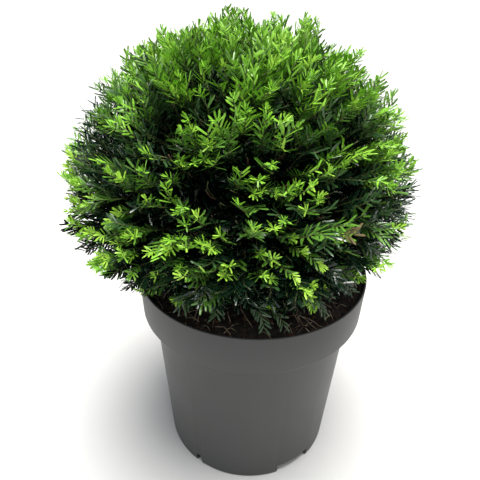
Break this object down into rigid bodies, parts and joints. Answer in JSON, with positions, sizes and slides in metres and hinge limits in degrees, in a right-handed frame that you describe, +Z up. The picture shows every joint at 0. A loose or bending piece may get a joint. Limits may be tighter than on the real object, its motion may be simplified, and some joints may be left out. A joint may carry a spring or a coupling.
{
  "type": "potted yew",
  "caption": "Yew clipped to a dense ball of short dark green needles on a short forked stem, growing in a round grey plastic nursery pot with a deep band round its mouth.",
  "frame": {"origin": "middle of the pot's flat underside, on the surface that the pot stands on", "axes": "+Z up, along the pot's axis; -Y is the front, the side with the compost in view and a wide drainage recess right of its middle; +X is to the right seen from the front"},
  "size_m": [0.4885, 0.4804, 0.6926],
  "materials": {
    "plastic": "satin",
    "compost": "matte",
    "bark": "matte",
    "foliage": "satin"
  },
  "bodies": {
    "root": {"pot": "plastic", "soil": "compost", "trunk": "bark", "bough_01": "bark", "bough_02": "bark", "bough_03": "bark", "bough_04": "bark", "bough_05": "bark", "bough_06": "bark", "bough_07": "bark", "bough_08": "bark", "bough_09": "bark", "bough_10": "bark", "bough_11": "bark", "crown_mass_01": "foliage", "crown_mass_02": "foliage", "crown_mass_03": "foliage", "crown_mass_04": "foliage", "crown_mass_05": "foliage", "crown_mass_06": "foliage", "crown_mass_07": "foliage", "crown_mass_08": "foliage", "crown_mass_09": "foliage", "crown_mass_10": "foliage", "crown_mass_11": "foliage"}
  },
  "joints": []
}
